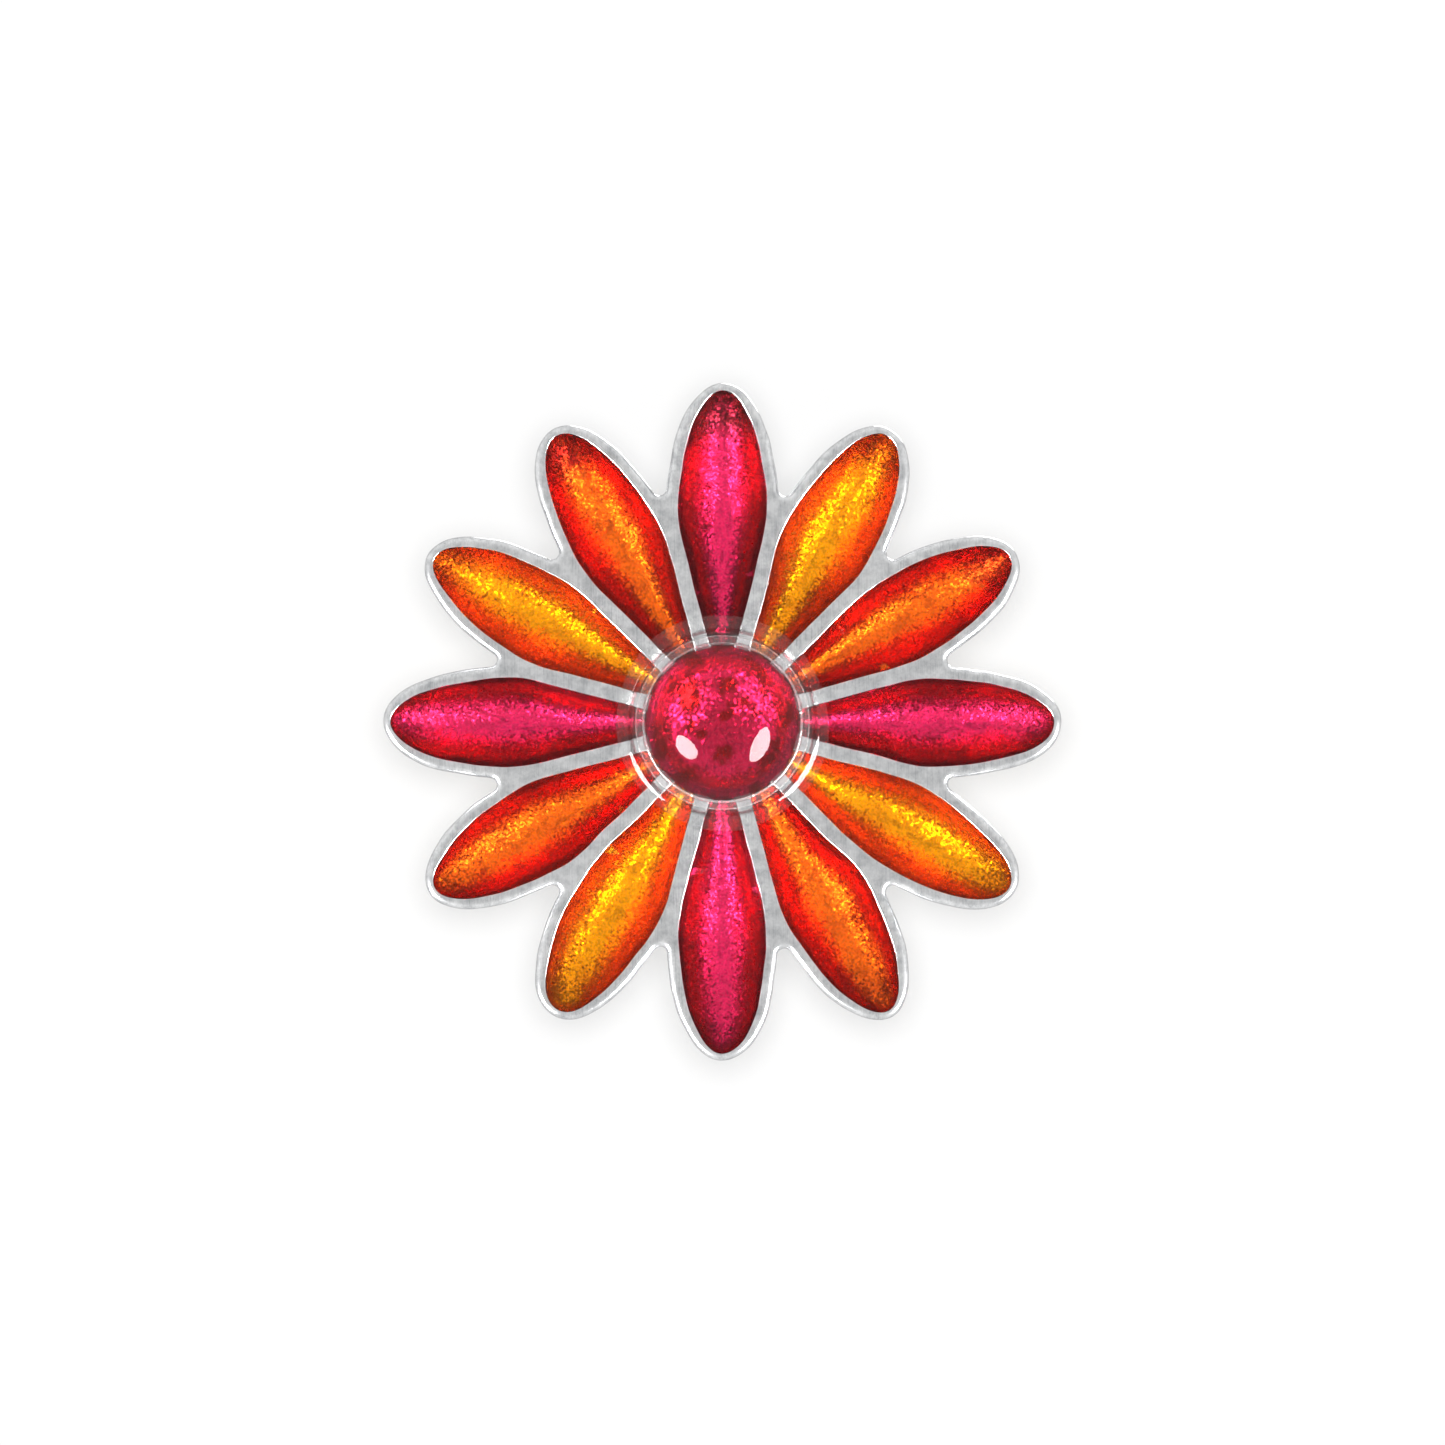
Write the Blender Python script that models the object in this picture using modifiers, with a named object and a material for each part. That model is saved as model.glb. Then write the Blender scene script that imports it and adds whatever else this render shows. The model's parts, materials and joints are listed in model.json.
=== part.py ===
"""Hat pin: an enamelled metal daisy held to a hat by two tack posts and their butterfly clutches.

Every piece is drawn in the flower's own frame: x to the right, y up, z out of the flower's face,
with z = 0 on the flat back that lies against the hat. The empty hat_pin then stands the flower
upright, so that its face looks along -Y and its posts run along +Y.
"""

import math

import bmesh
import bpy
from mathutils import Matrix, Vector

MM = 0.001

# The flower, in metres
PETALS = 12
FLOWER_RADIUS = 20.0 * MM  # centre to a petal's metal tip
BODY_THICKNESS = 2.5 * MM
RIM_WIDTH = 0.65 * MM  # metal left around each enamel cell
DIVIDER_WIDTH = 0.91 * MM  # metal between two neighbouring cells
FRONT_ROUNDING = 0.42 * MM
BACK_ROUNDING_SHARE = 0.4  # of the front rounding
NOTCH_RADIUS = 0.42 * MM  # fillet where two petals meet
MARK_RADIUS = 3.0 * MM  # ring that the mould's centre pin left in the back
MARK_WIDTH = 0.25 * MM
MARK_DEPTH = 0.1 * MM
CELL_ROOT = 5.0 * MM  # radius where a cell starts
CELL_WAIST = 12.0 * MM  # radius where a cell is widest and deepest
CELL_HALF_WIDTH = 2.6 * MM
CELL_CORNER = 0.3 * MM  # softening between a cell's straight flank and its rounded end
CELL_TIP_POWER = 1.8
CELL_TIP_FLAT = 0.015 * MM  # the cell stops this far short of its point, on a small flat
CELL_CORNER_REACH = 1.2 * MM  # how far inwards of the waist the softening is drawn
SCOOP_POWER = 0.8  # below 1 the scoop's floor is flatter and its sides are steeper
CELL_DEPTH = 1.7 * MM
CELL_ROOT_DEPTH = 0.35 * MM
CELL_LIP = 0.12 * MM  # upright wall above the scoop
ENAMEL_DROP = 0.03 * MM  # the enamel is stoned just below the metal
PIECE_GAP = 0.03 * MM  # gap that separate pieces keep
CUT_PAST = 0.5 * MM  # how far a cutter stands out of what it cuts

# The centre
HUB_RADIUS = 4.6 * MM
BOWL_RADIUS = 4.0 * MM
BOWL_DEPTH = 1.25 * MM
HUB_RECESS = 0.2 * MM
STONE_RADIUS = 5.15 * MM
STONE_GIRDLE = 0.35 * MM
STONE_SHOULDER = 0.75 * MM
DOME_RADIUS = 4.6 * MM  # foot of the dome
DOME_HEIGHT = 2.0 * MM
COLLAR_RADIUS = 6.5 * MM
COLLAR_HEIGHT = 0.6 * MM
COLLAR_EDGE = 0.05 * MM
COLLAR_POWER = 2.5  # how hollow its slope is

# The tack posts
POST_SPACING = 18.0 * MM
POST_RADIUS = 0.55 * MM
POST_LENGTH = 8.0 * MM
POST_POINT = 0.9 * MM
POST_TIP_RADIUS = 0.05 * MM
FLANGE_RADIUS = 2.2 * MM
FLANGE_THICKNESS = 0.45 * MM
GROOVE_RADIUS = 0.42 * MM
GROOVE_PLACE = 6.3 * MM
GROOVE_WIDTH = 0.5 * MM
SOLDER_WIDTH = 0.55 * MM
SOLDER_HEIGHT = 0.4 * MM

# The butterfly clutches
FABRIC_GAP = 2.5 * MM  # room left for the hat between flower and clutch
PLATE_RADIUS = 5.6 * MM
PLATE_THICKNESS = 0.35 * MM
PLATE_WALL = 1.38 * MM  # height of the dished rim
LIP_RADIUS = 3.3 * MM
LIP_THICKNESS = 0.3 * MM
PLATE_HOLE = 0.62 * MM
WINDOW_START = 3.0 * MM
WINDOW_HALF_WIDTH = 3.95 * MM
WINDOW_SILL = 0.01 * MM
TOOTH_RADIUS = 0.45 * MM
TOOTH_HEIGHT = 0.4 * MM
TOOTH_CIRCLE = 3.9 * MM
TOOTH_POINT = 0.05 * MM
TOOTH_ROOT = 0.1 * MM  # how far a tooth is sunk into the plate, so that the two join
STRIP_THICKNESS = 0.25 * MM
STRIP_HALF_WIDTH = 3.7 * MM
STRIP_GAP = 0.06 * MM
LEAF_END = 1.7 * MM  # how far a leaf reaches past the post
FOLD_PLACE = 3.85 * MM
RUN_HEIGHT = 1.6 * MM
ROOT_BEND = 0.9 * MM
ROOT_PLACE = 1.75 * MM
WING_START = 2.9 * MM
WING_BEND = 2.0 * MM
WING_END_ANGLE = 60
WING_PLAN_RADIUS = 5.9 * MM
SLOT_RADIUS = 0.6 * MM
PINCH_TRAVEL = 0.5 * MM

# Colours: base colour, roughness, metallic, alpha
FINISHES = {
    "cast_metal": ((0.78, 0.79, 0.80), 0.30, 1.0, 1.0),
    "magenta_enamel": ((0.62, 0.01, 0.12), 0.12, 0.0, 1.0),
    "red_enamel": ((0.80, 0.05, 0.01), 0.12, 0.0, 1.0),
    "amber_enamel": ((0.90, 0.28, 0.01), 0.12, 0.0, 1.0),
    "clear_glass": ((0.95, 0.90, 0.91), 0.03, 0.0, 0.35),
    "clear_resin": ((0.96, 0.95, 0.93), 0.06, 0.0, 0.35),
    "post_steel": ((0.70, 0.70, 0.69), 0.22, 1.0, 1.0),
    "solder": ((0.62, 0.63, 0.65), 0.40, 1.0, 1.0),
    "clutch_brass": ((0.80, 0.60, 0.25), 0.24, 1.0, 1.0),
}
PETAL_COLOURS = ("magenta_enamel", "amber_enamel", "red_enamel")  # clockwise from the top

# How finely curves are divided
ROUND_STEPS = 36
SMALL_STEPS = 20
FLANK_STATIONS = 4
CORNER_STATIONS = 2
TIP_STATIONS = 7
FLOOR_STEPS = 6
OUTLINE_STEPS = 8
NOTCH_STEPS = 2
DOME_STEPS = 6
COLLAR_STEPS = 4
FOLD_STEPS = 6
ROOT_STEPS = 4
WING_STEPS = 6
TOOTH_SIDES = 10
SHARP_DEGREES = 35
SEARCH_STEPS = 30  # halvings in the search for where the notches lie
TANGENT_STEP = 0.01  # radians to either side of a point on the cell's edge, for its direction

HALF_SECTOR = math.pi / PETALS


def clear_scene():
    for old in list(bpy.data.objects):
        bpy.data.objects.remove(old)


def new_collection(name, hidden=False):
    collection = bpy.data.collections.new(name)
    bpy.context.scene.collection.children.link(collection)
    collection.hide_render = hidden
    return collection


def finish(name):
    """The Principled material of that name, made on first use."""
    if name in bpy.data.materials:
        return bpy.data.materials[name]
    colour, roughness, metallic, alpha = FINISHES[name]
    made = bpy.data.materials.new(name)
    made.use_nodes = True
    shader = made.node_tree.nodes["Principled BSDF"]
    shader.inputs["Base Color"].default_value = (*colour, 1.0)
    shader.inputs["Roughness"].default_value = roughness
    shader.inputs["Metallic"].default_value = metallic
    shader.inputs["Alpha"].default_value = alpha
    return made


def add_piece(name, mesh, slot=None, parent=None):
    """A visible piece if it has a finish, and otherwise a hidden cutter."""
    piece = bpy.data.objects.new(name, mesh)
    if slot:
        pieces.objects.link(piece)
        mesh.materials.append(finish(slot))
    else:
        cutters.objects.link(piece)
        piece.hide_render = True
        piece.display_type = "WIRE"
    piece.parent = parent
    return piece


def boolean(piece, tool, operation="DIFFERENCE"):
    modifier = piece.modifiers.new(tool.name, "BOOLEAN")
    modifier.operation = operation
    modifier.object = tool


def mesh_from(bm, name):
    bmesh.ops.recalc_face_normals(bm, faces=bm.faces[:])
    mesh = bpy.data.meshes.new(name)
    bm.to_mesh(mesh)
    bm.free()
    mesh.shade_smooth()
    mesh.set_sharp_from_angle(angle=math.radians(SHARP_DEGREES))
    return mesh


def add_prism(bm, outline, low, high):
    """Adds an upright block with the given outline to bm."""
    base = bm.faces.new([bm.verts.new((x, y, low)) for x, y in outline])
    raised = bmesh.ops.extrude_face_region(bm, geom=[base])["geom"]
    top = [v for v in raised if isinstance(v, bmesh.types.BMVert)]
    bmesh.ops.translate(bm, verts=top, vec=(0, 0, high - low))


def prism(name, outline, low, high, parent):
    """A cutter made of one upright block."""
    bm = bmesh.new()
    add_prism(bm, outline, low, high)
    return add_piece(name, mesh_from(bm, name), parent=parent)


def turned(name, profile, slot=None, parent=None, steps=ROUND_STEPS, ring=False):
    """A piece turned about z. Its profile of (radius, z) runs down the outer side, and a ring is closed."""
    mesh = bpy.data.meshes.new(name)
    ends = [(i, i + 1) for i in range(len(profile) - 1)]
    if ring:
        ends.append((len(profile) - 1, 0))
    mesh.from_pydata([(radius, 0, z) for radius, z in profile], ends, [])
    piece = add_piece(name, mesh, slot, parent)
    screw = piece.modifiers.new("turn", "SCREW")
    screw.steps = screw.render_steps = steps
    screw.use_merge_vertices = True
    screw.merge_threshold = 0.001 * MM
    screw.use_smooth_shade = True
    return piece


def arc(centre, radius, start, end, steps):
    """Points round a circle, from one angle in degrees to another."""
    turns = [math.radians(start + (end - start) * i / steps) for i in range(steps + 1)]
    return [(centre[0] + radius * math.cos(t), centre[1] + radius * math.sin(t)) for t in turns]


# ---- The petal cell, which the metal and the enamel share ----


def tip_share(radius, tip):
    return max(0.0, (radius - CELL_WAIST) / (tip - CELL_WAIST))


def cell_half_width(radius, tip):
    """Half the cell's width at a distance from the flower's centre: a wedge that ends in a superellipse."""
    wedge = radius * math.tan(HALF_SECTOR) - DIVIDER_WIDTH / 2 / math.cos(HALF_SECTOR)
    rounded = CELL_HALF_WIDTH * math.sqrt(max(0.0, 1 - tip_share(radius, tip) ** CELL_TIP_POWER))
    share = min(1.0, max(0.0, 0.5 + 0.5 * (rounded - wedge) / CELL_CORNER))
    return rounded * (1 - share) + wedge * share - CELL_CORNER * share * (1 - share)


def cell_depth(radius, tip):
    """Depth of the scoop on the petal's centreline, below the lip."""
    if radius > CELL_WAIST:
        return CELL_DEPTH * (1 - tip_share(radius, tip) ** 2) ** SCOOP_POWER
    share = (CELL_WAIST - radius) / (CELL_WAIST - CELL_ROOT)
    return CELL_ROOT_DEPTH + (CELL_DEPTH - CELL_ROOT_DEPTH) * (1 - share**2)


def cell_stations(root, tip):
    """Distances from the centre at which a cell's section is drawn, closer together at the rounded end."""
    corner = CELL_WAIST - CELL_CORNER_REACH
    flank = [root + (corner - root) * i / FLANK_STATIONS for i in range(FLANK_STATIONS)]
    bend = [corner + (CELL_WAIST - corner) * i / CORNER_STATIONS for i in range(CORNER_STATIONS)]
    quarter = [math.pi / 2 * i / TIP_STATIONS for i in range(TIP_STATIONS)]
    rounded = [CELL_WAIST + (tip - CELL_WAIST) * math.sin(t) for t in quarter]
    return flank + bend + rounded + [tip - CELL_TIP_FLAT]


def add_cell(bm, angle, top, inset=0.0):
    """Adds one petal's scoop to bm: it points at angle, has a flat top and is smaller all round by inset."""
    root, tip = CELL_ROOT + inset, FLOWER_RADIUS - RIM_WIDTH - inset
    turn = Matrix.Rotation(angle, 3, "Z")
    edge = BODY_THICKNESS - CELL_LIP
    sections = []
    for station in cell_stations(root, tip):
        half = cell_half_width(station, tip) - inset
        depth = cell_depth(station, tip) - inset
        section = [Vector((station, half, top)), Vector((station, -half, top))]
        for i in range(FLOOR_STEPS + 1):
            across = -math.cos(math.pi * i / FLOOR_STEPS)
            floor = edge - depth * max(0.0, 1 - across**2) ** SCOOP_POWER
            section.append(Vector((station, across * half, floor)))
        sections.append([bm.verts.new(turn @ point) for point in section])
    for first, second in zip(sections, sections[1:]):
        for i in range(len(first)):
            j = (i + 1) % len(first)
            bm.faces.new((first[i], first[j], second[j], second[i]))
    bm.faces.new(sections[0])
    bm.faces.new(sections[-1])


# ---- The flower's metal outline ----


def edge_point(turn, distance):
    """A point outside a cell that points along x. Turn 0 is the cell's tip and a quarter turn its waist."""
    tip = FLOWER_RADIUS - RIM_WIDTH

    def on_cell(t):
        radius = CELL_WAIST + (tip - CELL_WAIST) * math.cos(t)
        return Vector((radius, math.copysign(cell_half_width(radius, tip), t)))

    along = (on_cell(turn + TANGENT_STEP) - on_cell(turn - TANGENT_STEP)).normalized()
    return on_cell(turn) + Vector((along.y, -along.x)) * distance


def half_petal():
    """The metal edge from a petal's tip to the bottom of the notch beside it, as (x, y) points."""
    first, last = 0.0, math.pi / 2
    for _ in range(SEARCH_STEPS):
        middle = (first + last) / 2
        centre = edge_point(middle, RIM_WIDTH + NOTCH_RADIUS)
        if math.atan2(centre.y, centre.x) < HALF_SECTOR:
            first = middle
        else:
            last = middle
    flank = [edge_point(first * i / OUTLINE_STEPS, RIM_WIDTH) for i in range(OUTLINE_STEPS + 1)]
    inward = flank[-1] - centre
    start = math.degrees(math.atan2(inward.y, inward.x)) % 360
    end = math.degrees(HALF_SECTOR) + 180
    fillet = arc(centre, NOTCH_RADIUS, start, end, NOTCH_STEPS)
    return [(p.x, p.y) for p in flank] + fillet[1:]


def flower_outline():
    """The whole edge, anticlockwise from the first petal's tip."""
    half = half_petal()
    outline = []
    for petal in range(PETALS):
        turn = Matrix.Rotation(2 * HALF_SECTOR * petal, 2)
        other = Matrix.Rotation(2 * HALF_SECTOR * (petal + 1), 2)
        outline += [turn @ Vector(p) for p in half]
        outline += [other @ Vector((x, -y)) for x, y in reversed(half[1:-1])]
    return outline


def flower_frame(parent):
    """The cast flower: an extruded outline with rounded edges, scooped out for the enamel."""
    bm = bmesh.new()
    add_prism(bm, flower_outline(), 0, BODY_THICKNESS)
    weight = bm.edges.layers.float.new("bevel_weight_edge")
    for edge in bm.edges:
        heights = {round(v.co.z / MM, 3) for v in edge.verts}
        if len(heights) == 1:
            edge[weight] = 1.0 if max(heights) > 0 else BACK_ROUNDING_SHARE
    frame = add_piece("flower_frame", mesh_from(bm, "flower_frame"), "cast_metal", parent)
    rounding = frame.modifiers.new("rounded_edges", "BEVEL")
    rounding.width = FRONT_ROUNDING
    rounding.segments = 2
    rounding.limit_method = "WEIGHT"

    bm = bmesh.new()
    for petal in range(PETALS):
        add_cell(bm, petal * 2 * HALF_SECTOR, BODY_THICKNESS + CUT_PAST)
    boolean(frame, add_piece("cell_cutter", mesh_from(bm, "cell_cutter"), parent=parent))
    boolean(frame, turned("hub_cutter", hub_profile(BODY_THICKNESS + CUT_PAST), parent=parent))
    outer, inner = MARK_RADIUS, MARK_RADIUS - MARK_WIDTH
    mark = [(outer, MARK_DEPTH), (outer, -CUT_PAST), (inner, -CUT_PAST), (inner, MARK_DEPTH)]
    boolean(frame, turned("mark_cutter", mark, parent=parent, ring=True))
    return frame


def hub_profile(top, inset=0.0):
    """Half section of the round centre: a shallow recess with a bowl in its floor."""
    floor = BODY_THICKNESS - HUB_RECESS + inset
    hub, bowl = HUB_RADIUS - inset, BOWL_RADIUS - inset
    depth = BOWL_DEPTH - inset
    ball = (bowl**2 + depth**2) / (2 * depth)
    widest = math.degrees(math.asin(bowl / ball))
    curve = arc((0, floor - depth + ball), ball, -90 + widest, -90, DOME_STEPS)
    return [(0, top), (hub, top), (hub, floor)] + curve[:-1] + [(0, floor - depth)]


def petal_enamels(parent):
    """Twelve separate fills, one for each cell, in three colours that repeat clockwise."""
    for petal in range(PETALS):
        bm = bmesh.new()
        angle = math.pi / 2 - petal * 2 * HALF_SECTOR
        add_cell(bm, 0.0, BODY_THICKNESS - ENAMEL_DROP, PIECE_GAP)
        name = f"petal_enamel_{petal + 1:02d}"
        slot = PETAL_COLOURS[petal % len(PETAL_COLOURS)]
        fill = add_piece(name, mesh_from(bm, name), slot, parent)
        fill.rotation_euler.z = angle


def centre_pieces(parent):
    """The enamelled bowl, the glass stone over it and the clear resin that beds the stone."""
    turned("centre_enamel", hub_profile(BODY_THICKNESS - ENAMEL_DROP, PIECE_GAP), "magenta_enamel", parent)

    seat = BODY_THICKNESS + PIECE_GAP
    ball = (DOME_RADIUS**2 + DOME_HEIGHT**2) / (2 * DOME_HEIGHT)
    crown = seat + STONE_SHOULDER + DOME_HEIGHT
    foot = math.degrees(math.asin(DOME_RADIUS / ball))
    dome = arc((0, crown - ball), ball, 90, 90 - foot, DOME_STEPS)
    girdle = [(STONE_RADIUS, seat + STONE_GIRDLE), (STONE_RADIUS, seat), (0, seat)]
    turned("glass_stone", [(0, crown)] + dome[1:] + girdle, "clear_glass", parent)

    bore = STONE_RADIUS + PIECE_GAP
    hollow = []
    for i in range(COLLAR_STEPS + 1):
        share = i / COLLAR_STEPS
        height = COLLAR_EDGE + (COLLAR_HEIGHT - COLLAR_EDGE) * (1 - share) ** COLLAR_POWER
        hollow.append((bore + (COLLAR_RADIUS - bore) * share, seat + height))
    collar = hollow + [(COLLAR_RADIUS, seat), (bore, seat)]
    turned("resin_collar", collar, "clear_resin", parent, ring=True)


def tack_post(side, x, parent):
    """A nail whose flange is soldered to the flower's back, with a groove that the clutch snaps into."""
    place = bpy.data.objects.new(f"post_place_{side}", None)
    pieces.objects.link(place)
    place.parent = parent
    place.location = (x, 0, 0)
    groove_end = GROOVE_PLACE + GROOVE_WIDTH
    slope = POST_RADIUS - GROOVE_RADIUS
    profile = [
        (0, -PIECE_GAP),
        (FLANGE_RADIUS, -PIECE_GAP),
        (FLANGE_RADIUS, -FLANGE_THICKNESS),
        (POST_RADIUS, -FLANGE_THICKNESS),
        (POST_RADIUS, -GROOVE_PLACE + slope),
        (GROOVE_RADIUS, -GROOVE_PLACE),
        (GROOVE_RADIUS, -groove_end),
        (POST_RADIUS, -groove_end - slope),
        (POST_RADIUS, -POST_LENGTH + POST_POINT),
        (POST_TIP_RADIUS, -POST_LENGTH),
        (0, -POST_LENGTH),
    ]
    turned(f"post_{side}", profile, "post_steel", place, SMALL_STEPS)
    bore = FLANGE_RADIUS + PIECE_GAP
    solder = [
        (bore, -PIECE_GAP),
        (bore + SOLDER_WIDTH, -PIECE_GAP),
        (bore + SOLDER_WIDTH / 3, -FLANGE_THICKNESS / 3),
        (bore, -SOLDER_HEIGHT),
    ]
    turned(f"post_solder_{side}", solder, "solder", place, SMALL_STEPS, ring=True)


# ---- The butterfly clutch, drawn with z pointing away from the hat and its wings along x ----


def clutch_plate(side, parent):
    """A dished disc with gripping teeth, whose rim is folded in over the two spring leaves."""
    inner = PLATE_RADIUS - PLATE_THICKNESS
    profile = [
        (LIP_RADIUS, PLATE_WALL),
        (PLATE_RADIUS - LIP_THICKNESS, PLATE_WALL),
        (PLATE_RADIUS, PLATE_WALL - LIP_THICKNESS),
        (PLATE_RADIUS, LIP_THICKNESS),
        (PLATE_RADIUS - LIP_THICKNESS, 0),
        (PLATE_HOLE, 0),
        (PLATE_HOLE, PLATE_THICKNESS),
        (inner, PLATE_THICKNESS),
        (inner, PLATE_WALL - LIP_THICKNESS),
        (LIP_RADIUS, PLATE_WALL - LIP_THICKNESS),
    ]
    plate = turned(f"clutch_plate_{side}", profile, "clutch_brass", parent, ring=True)

    for end, wing in ((1, "top"), (-1, "bottom")):
        near, far, half = end * WINDOW_START, end * (PLATE_RADIUS + CUT_PAST), WINDOW_HALF_WIDTH
        corners = [(near, -half), (far, -half), (far, half), (near, half)]
        low = PLATE_THICKNESS + WINDOW_SILL
        boolean(plate, prism(f"window_{wing}_{side}", corners, low, PLATE_WALL + CUT_PAST, parent))

    bm = bmesh.new()
    for quarter in range(4):
        turn = Matrix.Rotation(math.radians(45 + 90 * quarter), 4, "Z")
        drop = Matrix.Translation((TOOTH_CIRCLE, 0, (TOOTH_ROOT - TOOTH_HEIGHT) / 2))
        bmesh.ops.create_cone(
            bm,
            cap_ends=True,
            segments=TOOTH_SIDES,
            radius1=TOOTH_POINT,
            radius2=TOOTH_RADIUS,
            depth=TOOTH_HEIGHT + TOOTH_ROOT,
            matrix=turn @ drop,
        )
    teeth = add_piece(f"teeth_{side}", mesh_from(bm, f"teeth_{side}"), parent=parent)
    boolean(plate, teeth, "UNION")


def jaw_path(leaf):
    """The middle line of a spring strip, seen from its side: leaf, fold, upper run and curled wing."""
    fold = (RUN_HEIGHT - leaf) / 2
    path = [(-LEAF_END, leaf)]
    path += arc((FOLD_PLACE, leaf + fold), fold, -90, 90, FOLD_STEPS)
    path += arc((ROOT_PLACE + ROOT_BEND, RUN_HEIGHT + ROOT_BEND), ROOT_BEND, -90, -180, ROOT_STEPS)
    path += arc((ROOT_PLACE + WING_BEND, WING_START), WING_BEND, 180, WING_END_ANGLE, WING_STEPS)
    return [Vector(p) for p in path]


def clutch_jaw(name, leaf, heading, parent):
    """One leaf of the spring with its wing. The far end of its slot grips the post."""
    path = jaw_path(leaf)
    under, over = [], []
    for i, point in enumerate(path):
        along = (path[min(i + 1, len(path) - 1)] - path[max(i - 1, 0)]).normalized()
        across = Vector((-along.y, along.x)) * STRIP_THICKNESS / 2
        under.append(point - across)
        over.append(point + across)
    bm = bmesh.new()
    section = [bm.verts.new((p.x, -STRIP_HALF_WIDTH, p.y)) for p in under + over[::-1]]
    last = len(section) - 1
    strip = []
    for i in range(len(path) - 1):
        strip.append(bm.faces.new((section[i], section[i + 1], section[last - i - 1], section[last - i])))
    raised = bmesh.ops.extrude_face_region(bm, geom=strip)["geom"]
    far_side = [v for v in raised if isinstance(v, bmesh.types.BMVert)]
    bmesh.ops.translate(bm, verts=far_side, vec=(0, 2 * STRIP_HALF_WIDTH, 0))
    jaw = add_piece(name, mesh_from(bm, name), "clutch_brass", parent)
    jaw.rotation_euler.z = heading

    slot = arc((PINCH_TRAVEL, 0), SLOT_RADIUS, -90, 90, SMALL_STEPS // 2)
    slot += arc((0, 0), SLOT_RADIUS, 90, 270, SMALL_STEPS // 2)
    low, high = leaf - STRIP_THICKNESS, leaf + STRIP_THICKNESS
    boolean(jaw, prism(f"slot_{name}", slot, low, high, jaw))
    plan = arc((0, 0), WING_PLAN_RADIUS, 0, 360, ROUND_STEPS)[:-1]
    boolean(jaw, prism(f"plan_{name}", plan, 0, POST_LENGTH, jaw), "INTERSECT")


def butterfly_clutch(side, x, parent):
    """Plate and two spring jaws, on an empty that turns them to face the back of the hat."""
    place = bpy.data.objects.new(f"clutch_place_{side}", None)
    pieces.objects.link(place)
    place.parent = parent
    place.location = (x, 0, -FABRIC_GAP)
    place.rotation_euler = Matrix(((0, 1, 0), (1, 0, 0), (0, 0, -1))).to_euler()
    clutch_plate(side, place)
    lower = PLATE_THICKNESS + STRIP_GAP + STRIP_THICKNESS / 2
    upper = lower + STRIP_THICKNESS + STRIP_GAP
    clutch_jaw(f"clutch_jaw_top_{side}", lower, 0, place)
    clutch_jaw(f"clutch_jaw_bottom_{side}", upper, math.pi, place)


clear_scene()
pieces = new_collection("hat_pin_pieces")
cutters = new_collection("cutters", hidden=True)
hat_pin = bpy.data.objects.new("hat_pin", None)
pieces.objects.link(hat_pin)
hat_pin.rotation_euler.x = math.pi / 2

flower_frame(hat_pin)
petal_enamels(hat_pin)
centre_pieces(hat_pin)
for post_side, post_x in (("left", -POST_SPACING / 2), ("right", POST_SPACING / 2)):
    tack_post(post_side, post_x, hat_pin)
    butterfly_clutch(post_side, post_x, hat_pin)
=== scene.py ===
import json
import math

import bpy
from mathutils import Matrix, Vector, noise

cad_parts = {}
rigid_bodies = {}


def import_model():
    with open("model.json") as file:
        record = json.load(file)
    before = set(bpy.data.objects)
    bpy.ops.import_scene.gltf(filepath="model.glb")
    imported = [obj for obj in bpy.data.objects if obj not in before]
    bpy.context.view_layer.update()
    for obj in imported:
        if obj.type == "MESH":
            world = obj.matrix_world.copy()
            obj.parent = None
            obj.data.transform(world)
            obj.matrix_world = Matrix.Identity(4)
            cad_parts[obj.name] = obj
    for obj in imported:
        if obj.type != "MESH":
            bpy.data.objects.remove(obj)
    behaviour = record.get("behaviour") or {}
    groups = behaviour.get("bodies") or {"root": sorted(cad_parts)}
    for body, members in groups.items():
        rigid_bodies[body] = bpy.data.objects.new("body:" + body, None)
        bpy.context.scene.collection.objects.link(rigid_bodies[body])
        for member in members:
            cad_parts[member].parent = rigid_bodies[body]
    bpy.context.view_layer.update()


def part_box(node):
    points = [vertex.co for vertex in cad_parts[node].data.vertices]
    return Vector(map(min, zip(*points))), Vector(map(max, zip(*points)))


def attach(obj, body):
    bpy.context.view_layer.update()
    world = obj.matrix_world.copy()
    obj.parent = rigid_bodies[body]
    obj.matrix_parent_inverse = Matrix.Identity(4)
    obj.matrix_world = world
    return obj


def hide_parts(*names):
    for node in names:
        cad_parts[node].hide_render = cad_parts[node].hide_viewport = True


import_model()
scene = bpy.context.scene
mm = 0.001

# Everything is modelled lying on its back, face up, in the flower's own frame, and stood up when it is finished.
flowerLow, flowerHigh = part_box("flower_frame")
faceHeight = -flowerLow.y
petalCount = 12
sector = math.tau / petalCount

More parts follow.
